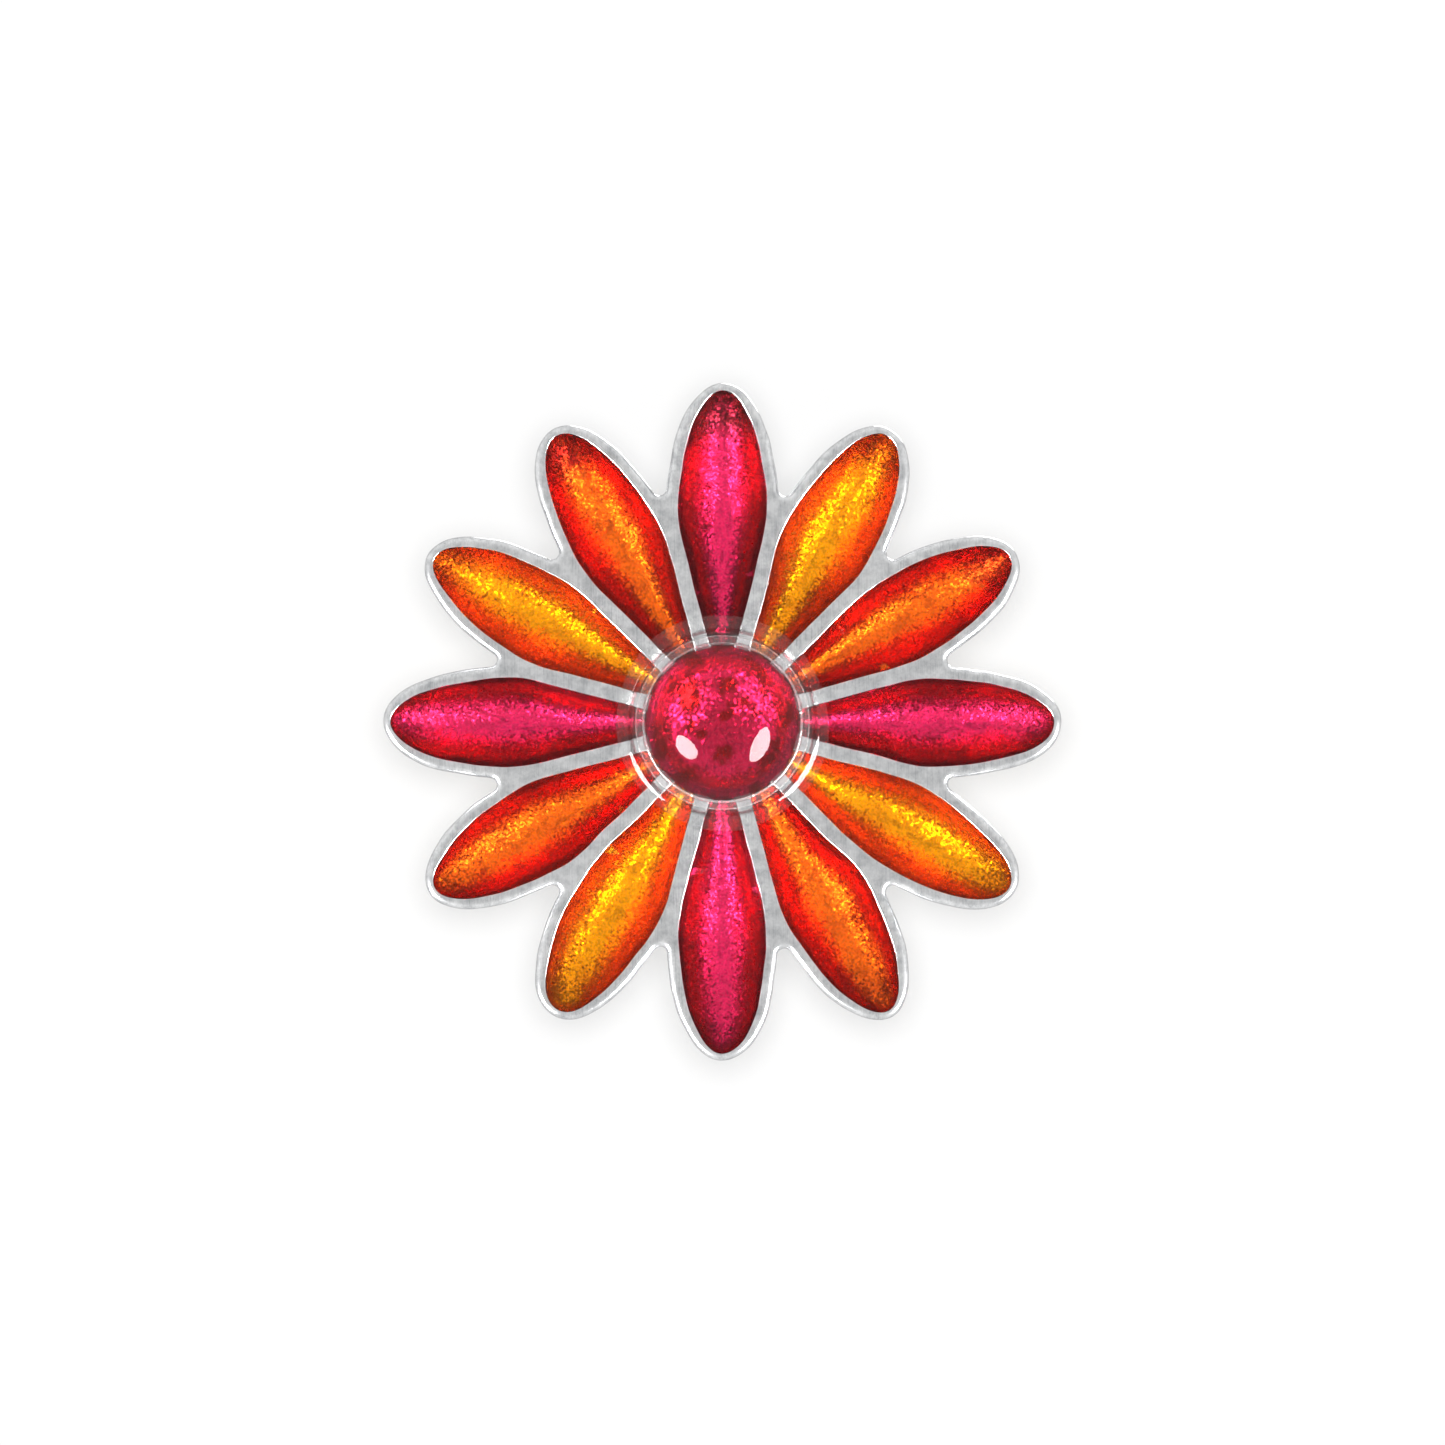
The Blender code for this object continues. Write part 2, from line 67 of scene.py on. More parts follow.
flower = {
    "reach": flowerHigh.z,  # centre to a petal's metal tip
    "tipRim": 0.45 * mm,  # metal left beyond a cell's tip
    "rim": 0.72 * mm,  # and along its sides
    "divider": 0.91 * mm,
    "cellRoot": 4.0 * mm,
    "cellWaist": 12.0 * mm,
    "cellHalfWidth": 2.6 * mm,
    "cellCorner": 0.3 * mm,
    "tipPower": 2.05,
    "scoopPower": 0.8,
    "scoopDepth": 1.7 * mm,
    "rootDepth": 0.35 * mm,
    "lipWall": 0.12 * mm,
    "lipRound": 0.06 * mm,
    "frontRound": 0.42 * mm,
    "backRound": 0.17 * mm,
    "notchRadius": 0.42 * mm,
    "backBorder": 0.75 * mm,
    "backStep": 0.07 * mm,
    "ejectorRadius": 0.9 * mm,
    "ejectorDepth": 0.12 * mm,
    "unevenness": 0.09 * mm,  # how far the cut edges wander
    "markRadius": 3.0 * mm,  # ring that the mould's centre pin left in the back
    "markWidth": 0.25 * mm,
    "markDepth": 0.1 * mm,
}
hub = {  # drawn a little smaller than it looks, because the stone magnifies it
    "radius": 4.2 * mm,
    "recess": 0.2 * mm,
    "bowlRadius": 3.55 * mm,
    "bowlDepth": 0.42 * mm,
    "bowlPower": 2.6,  # flatter in the middle than a ball would leave it
}


# Small helpers

def selectOnly(piece):
    if bpy.context.object and bpy.context.object.mode == "EDIT":
        bpy.ops.object.mode_set(mode="OBJECT")
    bpy.ops.object.select_all(action="DESELECT")
    piece.select_set(True)
    bpy.context.view_layer.objects.active = piece


def editAll(piece, mode="VERT"):
    selectOnly(piece)
    bpy.ops.object.mode_set(mode="EDIT")
    bpy.ops.mesh.select_mode(type=mode)
    bpy.ops.mesh.select_all(action="SELECT")


def backToObject():
    bpy.ops.object.mode_set(mode="OBJECT")


def applyModifiers(piece):
    selectOnly(piece)
    for modifier in list(piece.modifiers):
        bpy.ops.object.modifier_apply(modifier=modifier.name)


def closeUp(piece, reach=0.0005 * mm):  # merges doubles, drops strays and turns the faces outwards
    editAll(piece)
    bpy.ops.mesh.remove_doubles(threshold=reach)
    bpy.ops.mesh.dissolve_degenerate(threshold=reach / 10)
    bpy.ops.mesh.select_all(action="SELECT")
    bpy.ops.mesh.delete_loose(use_verts=True, use_edges=True, use_faces=False)
    bpy.ops.mesh.select_all(action="SELECT")
    bpy.ops.mesh.normals_make_consistent(inside=False)
    backToObject()


def cut(piece, tool, operation="DIFFERENCE"):
    modifier = piece.modifiers.new("cut", "BOOLEAN")
    modifier.operation = operation
    modifier.object = tool
    applyModifiers(piece)
    bpy.data.objects.remove(tool)


def shapedGrid(name, sections):  # a grid whose columns are laid along the given sections
    bpy.ops.object.select_all(action="DESELECT")
    across, along = len(sections[0]) - 1, len(sections) - 1
    bpy.ops.mesh.primitive_grid_add(x_subdivisions=across, y_subdivisions=along, size=1)
    piece = bpy.context.object
    piece.name = name
    for vertex in piece.data.vertices:
        i = round((vertex.co.x + 0.5) * across)
        j = round((vertex.co.y + 0.5) * along)
        vertex.co = sections[j][i]
    return piece


def turned(name, outline, steps=96):  # a closed half section of (radius, z), spun about the upright axis
    bpy.ops.object.select_all(action="DESELECT")
    bpy.ops.mesh.primitive_circle_add(vertices=len(outline), radius=mm)
    piece = bpy.context.object
    piece.name = name
    for vertex, (radius, z) in zip(piece.data.vertices, outline):
        vertex.co = (radius, 0, z)
    editAll(piece)
    bpy.ops.mesh.spin(steps=steps, angle=math.tau, center=(0, 0, 0), axis=(0, 0, 1))
    closeUp(piece)
    return piece


def arc(centre, radius, start, end, steps):  # points on a circle, angles in degrees
    turns = [math.radians(start + (end - start) * i / steps) for i in range(steps + 1)]
    return [(centre[0] + radius * math.cos(t), centre[1] + radius * math.sin(t)) for t in turns]


def join(name, parts):
    selectOnly(parts[0])
    for part in parts:
        part.select_set(True)
    bpy.ops.object.join()
    parts[0].name = name
    return parts[0]


def place(piece, x=0.0, z=0.0):  # applied straight away, so the mesh holds the place
    selectOnly(piece)
    piece.location = (x, z, 0)
    bpy.ops.object.transform_apply(location=True, rotation=True, scale=True)


def smooth(piece, angle=30):
    selectOnly(piece)
    bpy.ops.object.shade_smooth_by_angle(angle=math.radians(angle))


def finishPiece(piece, body, nodes, materials, angle=30):
    smooth(piece, angle)
    piece.rotation_euler = (math.pi / 2, 0, 0)
    bpy.ops.object.transform_apply(location=True, rotation=True, scale=True)
    for material in materials[len(piece.data.materials):]:
        piece.data.materials.append(material)
    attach(piece, body)
    if nodes:
        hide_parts(*nodes)
    return piece


# Shader helpers

class Shade:  # a socket that takes plain arithmetic
    def __init__(self, tree, socket=None):
        self.tree = tree
        self.socket = socket

    def node(self, kind, settings=None, inputs=None, out=0):
        made = self.tree.nodes.new(kind)
        for name, value in (settings or {}).items():
            if name == "stops":
                ends = made.color_ramp.elements
                for stop, (position, colour) in ((ends[0], value[0]), (ends[1], value[-1])):
                    stop.position = position
                    stop.color = colour
                for position, colour in value[1:-1]:
                    ends.new(position).color = colour
            else:
                setattr(made, name, value)
        for name, value in (inputs or {}).items():
            if isinstance(value, Shade):
                self.tree.links.new(value.socket, made.inputs[name])
            else:
                made.inputs[name].default_value = value
        return Shade(self.tree, made.outputs[out] if len(made.outputs) else None)

    def calc(self, operation, first, second=0.0):
        return self.node("ShaderNodeMath", {"operation": operation}, {0: first, 1: second})

    def __add__(self, other):
        return self.calc("ADD", self, other)

    def __radd__(self, other):
        return self.calc("ADD", other, self)

    def __sub__(self, other):
        return self.calc("SUBTRACT", self, other)

    def __rsub__(self, other):
        return self.calc("SUBTRACT", other, self)

    def __mul__(self, other):
        return self.calc("MULTIPLY", self, other)

    def __rmul__(self, other):
        return self.calc("MULTIPLY", other, self)

    def __truediv__(self, other):
        return self.calc("DIVIDE", self, other)

    def __pow__(self, other):
        return self.calc("POWER", self, other)

    def clamp(self):
        return self.node("ShaderNodeClamp", None, {0: self})

    def mix(self, factor, first, second):
        return self.node("ShaderNodeMix", {"data_type": "RGBA"}, {0: factor, 6: first, 7: second}, 2)

    def step(self, value, low, high, new=(0.0, 1.0)):
        inputs = {0: value, 1: low, 2: high, 3: new[0], 4: new[1]}
        return self.node("ShaderNodeMapRange", {"interpolation_type": "SMOOTHSTEP"}, inputs)

    def objectPoint(self, scale=(1, 1, 1), turn=(0, 0, 0)):
        point = self.node("ShaderNodeTexCoord", None, None, 3)
        return self.node("ShaderNodeMapping", None, {0: point, 2: turn, 3: scale})

    def noise(self, point, scale, detail=2.0, roughness=0.5):
        inputs = {"Vector": point, "Scale": scale, "Detail": detail, "Roughness": roughness}
        return self.node("ShaderNodeTexNoise", None, inputs)


def newMaterial(name, values):
    made = bpy.data.materials.new(name)
    made.use_nodes = True
    tree = made.node_tree
    shader = tree.nodes["Principled BSDF"]
    for socket, value in values.items():
        shader.inputs[socket].default_value = value
    return made, Shade(tree), shader


def drive(shader, socket, shade):
    shade.tree.links.new(shade.socket, shader.inputs[socket])


def bump(shade, height, strength, distance):
    return shade.node("ShaderNodeBump", None, {"Height": height, "Strength": strength, "Distance": distance})


# Metals

def scratches(shade, angles, across, along):  # fine straight marks that run at the given angles over the face
    total = None
    for angle in angles:
        point = shade.objectPoint((across, across, along), (0, math.radians(angle), 0))
        marks = shade.step(shade.noise(point, 1.0, 1.0), 0.52, 0.72)
        total = marks if total is None else total + marks
    return total


def linishedMetal(name, colour):
    made, shade, shader = newMaterial(name, {"Metallic": 1.0, "IOR": 1.5})
    point = shade.objectPoint()
    cloudy = shade.noise(point, 1300, 4.0, 0.65)
    fine = shade.noise(point, 6000, 3.0, 0.6)
    lines = scratches(shade, (12, 55, 103, 151), 9000, 500)
    tone = (2.2 * cloudy - 0.5 + 0.3 * fine - 0.14 * lines).clamp()
    drive(shader, "Base Color", shade.mix(tone, (0.42, 0.43, 0.44, 1), (*colour, 1)))
    drive(shader, "Roughness", (0.12 + 0.06 * cloudy + 0.03 * lines).clamp())
    drive(shader, "Normal", bump(shade, 0.4 * fine + 0.2 * lines + 0.5 * cloudy, 0.25, 0.02 * mm))
    return made


def castMetal(name, colour, grain):
    made, shade, shader = newMaterial(name, {"Metallic": 1.0})
    point = shade.objectPoint()
    pits = shade.noise(point, 5200, 4.0, 0.65)
    cloudy = shade.noise(point, 350, 3.0, 0.5)
    drive(shader, "Base Color", shade.mix((pits * 0.5 + cloudy * 0.5).clamp(), (0.4, 0.4, 0.41, 1), (*colour, 1)))
    drive(shader, "Roughness", (0.36 + 0.16 * cloudy + 0.1 * pits).clamp())
    drive(shader, "Normal", bump(shade, pits, grain, 0.04 * mm))
    return made


# The scooped floors, seen through their colour, with painted light and shade: the floor colour where they face the
# front, painted shade over the steep sides, at the tips and at the roots
foils = {
    "magenta": {"steep": (0.19, 0.015, 0.018), "side": (0.66, 0.009, 0.024), "floor": (0.84, 0.021, 0.120)},
    "amber": {"steep": (0.50, 0.070, 0.002), "side": (0.90, 0.170, 0.001), "floor": (1.00, 0.370, 0.001)},
    "red": {"steep": (0.32, 0.011, 0.006), "side": (0.86, 0.022, 0.001), "floor": (1.00, 0.160, 0.005)},
}


def foilMetal(name, colours, lean=0.30, mottle=0.25, tips=(15.8, 18.2), roots=(4.0, 8.0)):
    made, shade, shader = newMaterial(name, {"Metallic": 1.0})
    point = shade.objectPoint()
    x = shade.node("ShaderNodeSeparateXYZ", None, {0: point}, 0)
    z = shade.node("ShaderNodeSeparateXYZ", None, {0: point}, 2)
    radius = (x * x + z * z) ** 0.5
    turn = shade.calc("ARCTAN2", z, x)
    normal = shade.node("ShaderNodeNewGeometry", None, None, "Normal")
    facing = shade.node("ShaderNodeSeparateXYZ", None, {0: normal}, 1) * -1.0
    flow = shade.node("ShaderNodeCombineXYZ", None, {0: turn * 9.0, 1: radius * 260})
    streaks = shade.noise(flow, 2.2, 4.0, 0.6)  # it ran along the petal as it was laid
    grain = shade.noise(point, 6500, 2.0, 0.6)
    flakes = shade.node("ShaderNodeTexVoronoi", {"feature": "F1"}, {"Vector": point, "Scale": 8500}, "Color")
    blotches = shade.step(shade.noise(point, 800, 3.0, 0.55), 0.46, 0.66)
    open_ = facing + 0.12 * (streaks - 0.5)
    # lit and shaded copies of one colour: the floor colour where the scoop faces the front, the darker side colour
    # where it turns away
    upper = shade.mix(shade.step(open_, 0.78, 0.92), (*colours["side"], 1), (*colours["floor"], 1))
    upperWeight = shade.step(z, -6 * mm, 14 * mm, (0.05, 1.0))  # weighs the painted shade at the tips more on the upper petals
    # painted shade at the tips and at the roots of the scoops
    atTip = shade.step(radius, tips[0] * mm, tips[1] * mm) * upperWeight
    atRoot = 1 - shade.step(radius, roots[0] * mm, roots[1] * mm)
    endShade = 1 - (1 - 0.85 * atTip) * (1 - 0.45 * atRoot)
    # painted shade over the steep sides, at the tips and at the roots, plus random blotches
    shadeAndBlotches = (1 - shade.step(open_, 0.54, 0.74)) + endShade + mottle * blotches
    colour = shade.mix(shadeAndBlotches.clamp(), upper, (*colours["steep"], 1))
    specks = shade.step(grain, 0.34, 0.56, (0.72, 1.0)) * shade.step(streaks, 0.34, 0.46, (0.7, 1.0))
    drive(shader, "Base Color", shade.mix(specks, (0, 0, 0, 1), colour))
    drive(shader, "Roughness", (0.22 + 0.08 * grain).clamp())
    swell = shade.noise(point, 420, 2.0)  # the cast floor isn't quite fair
    fair = bump(shade, 0.4 * grain + 6.0 * swell, 0.15, 0.03 * mm)
    tilts = shade.node("ShaderNodeVectorMath", {"operation": "SUBTRACT"}, {0: flakes, 1: (0.5, 0.5, 0.5)})
    parts = {0: tilts, 1: (lean, lean, lean), 2: fair}
    leaning = shade.node("ShaderNodeVectorMath", {"operation": "MULTIPLY_ADD"}, parts)  # each flake lies its own way
    drive(shader, "Normal", shade.node("ShaderNodeVectorMath", {"operation": "NORMALIZE"}, {0: leaning}))
    return made


def clearMaterial(name, colour, roughness, ior, wave=0.0, shine=1.0, clear=1.0):
    values = {"Base Color": (*colour, 1), "Roughness": roughness, "IOR": ior, "Transmission Weight": clear}
    made, shade, shader = newMaterial(name, values | {"Specular Tint": (shine, shine, shine, 1)})
    if wave:
        drive(shader, "Normal", bump(shade, shade.noise(shade.objectPoint(), 450, 2.0), wave, 0.02 * mm))
    return made


def platedMetal(name, colour, roughness, grain):
    made, shade, shader = newMaterial(name, {"Metallic": 1.0})
    point = shade.objectPoint()
    cloudy = shade.noise(point, 700, 3.0, 0.55)
    fine = shade.noise(point, 8000, 2.0, 0.5)
    dark = tuple(channel * 0.7 for channel in colour)
    drive(shader, "Base Color", shade.mix(shade.step(cloudy, 0.2, 0.6, (0.55, 1.0)), (*dark, 1), (*colour, 1)))
    drive(shader, "Roughness", (roughness - 0.08 + 0.16 * cloudy + 0.06 * fine).clamp())
    drive(shader, "Normal", bump(shade, cloudy + 0.3 * fine, grain, 0.02 * mm))
    return made


faceMetal = linishedMetal("linishedMetal", (0.76, 0.765, 0.77))
backMetal = castMetal("castBack", (0.74, 0.74, 0.745), 0.7)
edgeMetal = castMetal("castEdge", (0.80, 0.80, 0.805), 0.25)
foilMetals = {name: foilMetal(name + "Foil", foils[name]) for name in foils}
enamels = {
    "magenta": clearMaterial("magentaEnamel", (1.0, 0.95, 0.98), 0.02, 1.5, 0.05, 0.3),
    "amber": clearMaterial("amberEnamel", (1.0, 0.97, 0.85), 0.02, 1.5, 0.05, 0.3),
    "red": clearMaterial("redEnamel", (1.0, 0.95, 0.90), 0.02, 1.5, 0.05, 0.3),
}
# the bowl's foil, with painted shade by facing, towards its middle and at its rim, plus random blotches
bowlEnamel = foilMetal(
    "bowlEnamel",
    {"steep": (0.26, 0.003, 0.004), "side": (0.56, 0.006, 0.018), "floor": (0.64, 0.011, 0.070)},
    0.32,
    1.0,
    (3.4, 3.6),
    (0.3, 3.0),
)
stoneGlass = clearMaterial("stoneGlass", (0.99, 0.99, 0.99), 0.0, 1.52, 0.0, 0.4)
ledgeGlass = clearMaterial("ledgeGlass", (0.97, 0.96, 0.96), 0.05, 1.52, 0.0, 0.8, 0.975)
groundGlass = clearMaterial("groundGlass", (0.95, 0.93, 0.92), 0.15, 1.52, 0.0, 0.8, 0.88)
resinClear = clearMaterial("clearGlue", (0.99, 0.99, 0.985), 0.0, 1.48, 0.0, 0.6)
nickel = platedMetal("nickelSteel", (0.78, 0.77, 0.75), 0.22, 0.1)
solderMetal = platedMetal("softSolder", (0.62, 0.63, 0.64), 0.38, 0.6)
brass = platedMetal("brightBrass", (0.86, 0.64, 0.28), 0.20, 0.12)
print("materials made")


# The petal cell

cellTip = flower["reach"] - flower["tipRim"]


def tipShare(radius):
    return max(0.0, (radius - flower["cellWaist"]) / (cellTip - flower["cellWaist"]))


def cellHalfWidth(radius):  # a wedge between straight dividers that ends in a rounded tip
    wedge = radius * math.tan(sector / 2) - flower["divider"] / 2 / math.cos(sector / 2)
    rounded = flower["cellHalfWidth"] * math.sqrt(max(0.0, 1 - tipShare(radius) ** flower["tipPower"]))
    share = min(1.0, max(0.0, 0.5 + 0.5 * (rounded - wedge) / flower["cellCorner"]))
    return rounded * (1 - share) + wedge * share - flower["cellCorner"] * share * (1 - share)


def cellDepth(radius):
    if radius > flower["cellWaist"]:
        return flower["scoopDepth"] * max(0.0, 1 - tipShare(radius) ** 2) ** flower["scoopPower"]
    share = (flower["cellWaist"] - radius) / (flower["cellWaist"] - flower["cellRoot"])
    return flower["rootDepth"] + (flower["scoopDepth"] - flower["rootDepth"]) * (1 - share**2)


def cellPoint(along):  # 0 is the tip, 1 the waist and 2 the root
    if along < 1:
        radius = flower["cellWaist"] + (cellTip - flower["cellWaist"]) * math.cos(along * math.pi / 2)
    else:
        radius = flower["cellWaist"] - (flower["cellWaist"] - flower["cellRoot"]) * (along - 1)
    return Vector((radius, math.copysign(cellHalfWidth(radius), along)))


def cellNormal(along):
    step = 0.004
    ahead = (cellPoint(along + step) - cellPoint(along - step)).normalized()
    return Vector((ahead.y, -ahead.x))


def rimWidth(along):
    share = min(1.0, abs(along) / 0.6)
    return flower["tipRim"] + (flower["rim"] - flower["tipRim"]) * share * share * (3 - 2 * share)


def searchAlong(tooFar):  # halves the stretch from tip to waist until the test flips
    low, high = 0.0, 1.0
    for _ in range(30):
        middle = (low + high) / 2
        low, high = (low, middle) if tooFar(middle) else (middle, high)
    return low


def notchStart():
    def past(along):
        centre = cellPoint(along) + cellNormal(along) * (rimWidth(along) + flower["notchRadius"])
        return math.atan2(centre.y, centre.x) > sector / 2

    return searchAlong(past)


bisector = Vector((math.cos(sector / 2), math.sin(sector / 2)))
notchAlong = notchStart()
notchCentre = cellPoint(notchAlong) + cellNormal(notchAlong) * (rimWidth(notchAlong) + flower["notchRadius"])
notchFloor = notchCentre.length - flower["notchRadius"] - flower["frontRound"]
filletEnd = searchAlong(lambda along: cellPoint(along).dot(bisector) < notchFloor)


def stations(detail):  # where sections are drawn: round the tip, round the notch, to the waist, down the flank
    tip = [notchAlong * i / (14 * detail) for i in range(14 * detail)]
    fillet = [notchAlong + (filletEnd - notchAlong) * i / (4 * detail) for i in range(4 * detail)]
    shoulder = [filletEnd + (1.2 - filletEnd) * i / (6 * detail) for i in range(6 * detail)]
    flank = [1.2 + 0.8 * i / (6 * detail) for i in range(6 * detail + 1)]
    return tip + fillet + shoulder + flank


def outerEdge(along):  # a point on the metal's edge and the direction that faces out of the metal
    if along <= notchAlong:
        normal = cellNormal(along)
        return cellPoint(along) + normal * rimWidth(along), normal
    inward = cellPoint(notchAlong) - notchCentre
    start = math.atan2(inward.y, inward.x) % math.tau
    end = sector / 2 + math.pi
    turn = start + (end - start) * (along - notchAlong) / (filletEnd - notchAlong)
    direction = Vector((math.cos(turn), math.sin(turn)))
    return notchCentre + direction * flower["notchRadius"], -direction


def at(point, z):
    return Vector((point.x, point.y, z))


def scoopRows(along, rows, sink=0.0):  # from the petal's middle line out to the cell's wall
    edge = cellPoint(along)
    line = []
    for i in range(rows + 1):
        share = math.sin(math.pi / 2 * i / rows)
        drop = cellDepth(edge.x) * max(0.0, 1 - share**2) ** flower["scoopPower"]
        line.append(Vector((edge.x, edge.y * share, faceHeight - flower["lipWall"] - drop - sink)))
    return line


def quarterTurn(steps):
    return [math.pi / 2 * i / steps for i in range(1, steps + 1)]


def faceSection(along, rows):  # scoop, wall, rounded lip and flat rim, up to where the outer rounding starts
    line = scoopRows(along, rows)
    edge, normal, lip = cellPoint(along), cellNormal(along), flower["lipRound"]
    line.append(at(edge, faceHeight - lip))
    for turn in quarterTurn(3):
        line.append(at(edge + normal * lip * (1 - math.cos(turn)), faceHeight - lip * (1 - math.sin(turn))))
    if along <= filletEnd:
        outer, outward = outerEdge(along)
        rim = outer - outward * flower["frontRound"]
    else:
        rim = bisector * edge.dot(bisector)
    start = line[-1].copy()
    for i in (1, 2, 3):
        line.append(start.lerp(at(rim, faceHeight), i / 3))
    return line


def edgeSection(along):  # outer rounding, side wall, back rounding, back border and the step to the back's field
    outer, outward = outerEdge(along)
    front, back = flower["frontRound"], flower["backRound"]
    line = [at(outer - outward * front, faceHeight)]
    for turn in quarterTurn(6):
        line.append(at(outer - outward * front * (1 - math.sin(turn)), faceHeight - front * (1 - math.cos(turn))))
    line.append(at(outer, back))
    for turn in quarterTurn(4):
        line.append(at(outer - outward * back * (1 - math.cos(turn)), back * (1 - math.sin(turn))))
    border = back + flower["backBorder"]
    line.append(at(outer - outward * border, 0))
    line.append(at(outer - outward * (border + flower["backStep"]), flower["backStep"]))
    return line


def handCut(piece):  # metal and enamel wander together, so they still fit
    for vertex in piece.data.vertices:
        x, y, z = vertex.co
        radius = math.hypot(x, y)
        share = min(1.0, max(0.0, (radius - 5.5 * mm) / (4 * mm)))
        drift = noise.noise_vector(Vector((x, y, 0)) / (3.2 * mm)) * 1.4
        drift += noise.noise_vector(Vector((x, y, 7 * mm)) / (1.3 * mm)) * 0.5
        vertex.co.xy += drift.xy * flower["unevenness"] * share


def spinPetal(piece):  # mirrors the half petal, then repeats the petal round the flower
    mirror = piece.modifiers.new("mirror", "MIRROR")
    mirror.use_axis = (False, True, False)
    mirror.merge_threshold = 0.0005 * mm
    applyModifiers(piece)
    editAll(piece)
    turn = math.tau - sector
    bpy.ops.mesh.spin(steps=petalCount - 1, dupli=True, angle=turn, center=(0, 0, 0), axis=(0, 0, 1))
    backToObject()


def bowlCurve(sink=0.0, steps=20):  # the hub's bowl, from its rim down to the middle
    floor = faceHeight - hub["recess"] - sink
    shares = [1 - i / steps for i in range(steps + 1)]
    return [(hub["bowlRadius"] * s, floor - hub["bowlDepth"] * (1 - s ** hub["bowlPower"])) for s in shares]


def makeCasting():
    detail = 2
    places = stations(detail)
    face = [faceSection(along, 14) for along in places]
    endWall = [point.copy() for point in face[-1]]
    for point in endWall:
        point.z = faceHeight
    casting = shapedGrid("flowerCasting", face + [endWall])
    edge = shapedGrid("flowerEdge", [edgeSection(along) for along in places if along <= filletEnd + 1e-9])
    join("flowerCasting", [casting, edge])
    spinPetal(casting)
    closeUp(casting)
    editAll(casting, "EDGE")
    bpy.ops.mesh.select_all(action="DESELECT")
    bpy.ops.mesh.select_non_manifold(extend=False, use_wire=False, use_multi_face=False, use_non_contiguous=False,
                                     use_verts=False)
    bpy.ops.mesh.edge_face_add()
    backToObject()
    closeUp(casting)
    print("casting faces", len(casting.data.polygons))
    return casting


def petalFrame(x, y):  # the nearest petal's number clockwise from the top, and the point as seen along that petal
    number = round((math.pi / 2 - math.atan2(y, x)) / sector) % petalCount
    turn = math.pi / 2 - number * sector
    along = x * math.cos(turn) + y * math.sin(turn)
    across = y * math.cos(turn) - x * math.sin(turn)
    return number, along, across


petalColours = ("magenta", "amber", "red")  # clockwise from the top


def paintCasting(casting):  # which metal each face of the casting shows
    finishes = [faceMetal, edgeMetal, backMetal] + [foilMetals[name] for name in petalColours]
    for finish in finishes:
        casting.data.materials.append(finish)
    skin = 0.01 * mm
    for face in casting.data.polygons:
        x, y, z = face.center
        number, along, across = petalFrame(x, y)
        inCell = flower["cellRoot"] - skin < along < cellTip and abs(across) < cellHalfWidth(along) + skin
        if inCell and 0.3 * mm < z < faceHeight - flower["lipRound"] * 0.9:
            face.material_index = 3 + number % len(petalColours)
        elif z > faceHeight - flower["frontRound"]:
            face.material_index = 0
        elif z < flower["backStep"] + flower["ejectorDepth"] + skin and face.normal.z < -0.5 and z > skin:
            face.material_index = 2
        else:
            face.material_index = 1


def cutHub(casting):
    top = faceHeight + 0.5 * mm
    floor = faceHeight - hub["recess"]
    outline = [(0, top), (hub["radius"], top), (hub["radius"], floor)] + bowlCurve()
    cut(casting, turned("hubTool", outline, 120))


def cutEjectorMarks(casting):  # shallow rings that the mould's pins left, one on every other petal
    for number in range(0, petalCount, 2):
        turn = number * sector + sector
        depth = flower["backStep"] + flower["ejectorDepth"]
        bpy.ops.object.select_all(action="DESELECT")
        bpy.ops.mesh.primitive_cylinder_add(
            vertices=48,
            radius=flower["ejectorRadius"],
            depth=depth * 2,
            location=(14 * mm * math.cos(turn), 14 * mm * math.sin(turn), 0),
        )
        cut(casting, bpy.context.object)


def cutCentreMark(casting):
    outer, inner, depth = flower["markRadius"], flower["markRadius"] - flower["markWidth"], flower["markDepth"]
    floor = flower["backStep"] + depth
    outline = [(outer, -depth), (outer, floor), (inner, floor), (inner, -depth)]
    cut(casting, turned("markTool", outline, 96))


casting = makeCasting()
cutHub(casting)
cutEjectorMarks(casting)
cutCentreMark(casting)
paintCasting(casting)
handCut(casting)
finishPiece(casting, "flower", ["flower_frame"], [], 32)
print("casting done")


# Enamel

enamelFill = {
    "drop": 0.03 * mm,  # stoned just below the metal
    "creep": 0.02 * mm,  # it wets the wall a little above its own level
    "creepWidth": 0.14 * mm,
    "grip": 0.02 * mm,  # it keys into the metal, so no air shows between them
}


def enamelSection(along, rows):
    line = scoopRows(along, rows, enamelFill["grip"])
    edge, normal = cellPoint(along), cellNormal(along)
    root = max(edge.x, hub["radius"] + enamelFill["grip"])
    for point in line:
        point.x = root
    edge.x = root
    wall = edge + normal * enamelFill["grip"]
    level = faceHeight - enamelFill["drop"]
    line.append(at(wall, faceHeight - flower["lipWall"] - enamelFill["grip"]))
    line.append(at(wall, level + enamelFill["creep"]))
    for share in (0.25, 0.5, 0.75, 1.0):
        inner = edge.copy()
        inner.y = max(0.0, edge.y - enamelFill["creepWidth"] * share * 1.5)
        line.append(at(inner, level + enamelFill["creep"] * (1 - share) ** 2))
    start = line[-1].copy()
    for share in (0.35, 0.7, 1.0):
        line.append(Vector((start.x, start.y * (1 - share), level)))
    return line


